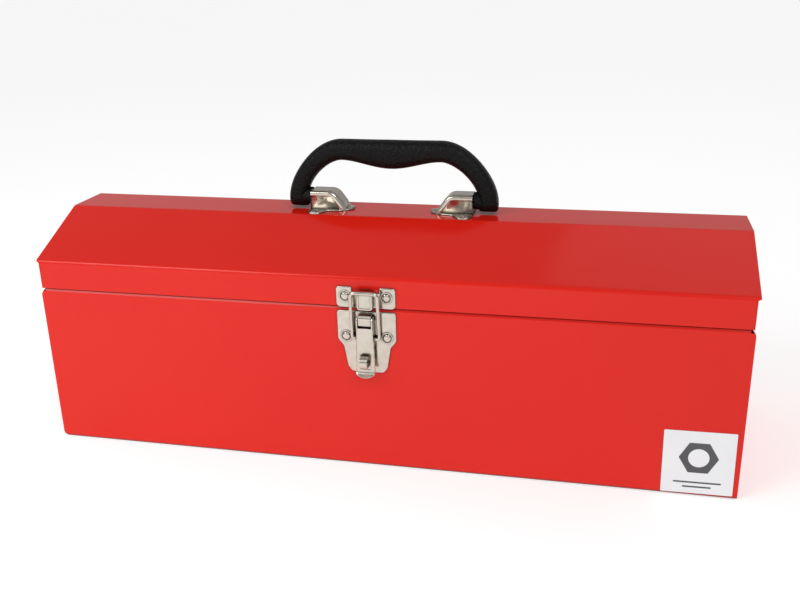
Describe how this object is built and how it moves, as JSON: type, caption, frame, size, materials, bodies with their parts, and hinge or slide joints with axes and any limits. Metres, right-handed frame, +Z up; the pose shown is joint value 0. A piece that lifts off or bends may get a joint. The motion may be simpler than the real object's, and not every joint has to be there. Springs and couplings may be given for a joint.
{
  "type": "toolbox with tray",
  "caption": "Long sheet-steel toolbox with a hinged hip-roof lid, a swing handle in pressed brackets, a draw latch with a padlock staple and a lift-out tray with a folding bail.",
  "frame": {"origin": "centre of the underside of the box, on the surface it stands on", "axes": "+X along the box to the right as seen from the latch, +Y from the latch side to the hinge side, +Z up"},
  "size_m": [0.4864, 0.1731, 0.2156],
  "materials": {
    "red_paint": "gloss baked enamel",
    "hinge_steel": "gloss enamel over steel",
    "plain_steel": "zinc-plated",
    "nickel_sheet": "bright nickel plate",
    "nickel_rivet": "bright nickel plate",
    "nickel_wire": "bright nickel plate on wire",
    "black_plastic": "leather-grained",
    "black_sleeve": "satin",
    "label_film": "glossy printed film"
  },
  "bodies": {
    "box": {"body_trough": "red_paint", "body_end_left": "red_paint", "body_end_right": "red_paint", "tray_ledge_left": "red_paint", "tray_ledge_right": "red_paint", "hinge_leaf_body": "hinge_steel", "hinge_pin": "plain_steel", "latch_base_plate": "nickel_sheet", "latch_base_rivets": "nickel_rivet", "latch_fulcrum_pin": "plain_steel", "label_sticker": "label_film"},
    "lid": {"lid_roof": "red_paint", "lid_end_left": "red_paint", "lid_end_right": "red_paint", "hinge_leaf_lid": "hinge_steel", "latch_catch_plate": "nickel_sheet", "latch_catch_rivets": "nickel_rivet", "handle_bracket_left": "nickel_sheet", "handle_bracket_right": "nickel_sheet", "handle_rivets_left": "nickel_rivet", "handle_rivets_right": "nickel_rivet", "handle_backing_left": "plain_steel", "handle_backing_right": "plain_steel"},
    "handle": {"handle_grip": "black_plastic", "handle_pin_left": "plain_steel", "handle_pin_right": "plain_steel"},
    "lever": {"latch_lever": "nickel_sheet"},
    "link": {"latch_link": "nickel_wire"},
    "tray": {"tray_pan": "red_paint", "tray_end_left": "red_paint", "tray_end_right": "red_paint", "tray_divider_left": "red_paint", "tray_divider_right": "red_paint"},
    "bail": {"tray_bail": "nickel_wire", "tray_bail_grip": "black_sleeve"}
  },
  "joints": [
    {"name": "lid_hinge", "type": "hinge", "parent": "box", "child": "lid", "pos_m": [0, 0.0799, 0.1188], "axis": [-1, 0, 0], "range_deg": [0, 110]},
    {"name": "handle_swing", "type": "hinge", "parent": "lid", "child": "handle", "pos_m": [0, 0, 0.174], "axis": [1, 0, 0], "range_deg": [-88, 88]},
    {"name": "latch_lever_throw", "type": "hinge", "parent": "box", "child": "lever", "pos_m": [-0.0022, -0.0817, 0.1111], "axis": [-1, 0, 0], "range_deg": [0, 125]},
    {"name": "latch_link_swing", "type": "hinge", "parent": "lever", "child": "link", "pos_m": [-0.0022, -0.0809, 0.0978], "axis": [-1, 0, 0], "range_deg": [-150, 0]},
    {"name": "tray_lift", "type": "slide", "parent": "box", "child": "tray", "axis": [0, 0, 1], "range_m": [0, 0.1155]},
    {"name": "bail_swing", "type": "hinge", "parent": "tray", "child": "bail", "pos_m": [0, 0, 0.105], "axis": [1, 0, 0], "range_deg": [0, 180]}
  ],
  "couplings": [
    {"joint": "latch_link_swing", "follows": "latch_lever_throw", "ratio": -1.2},
    {"joint": "tray_lift", "follows": "lid_hinge", "m_per_rad": 0.06}
  ]
}
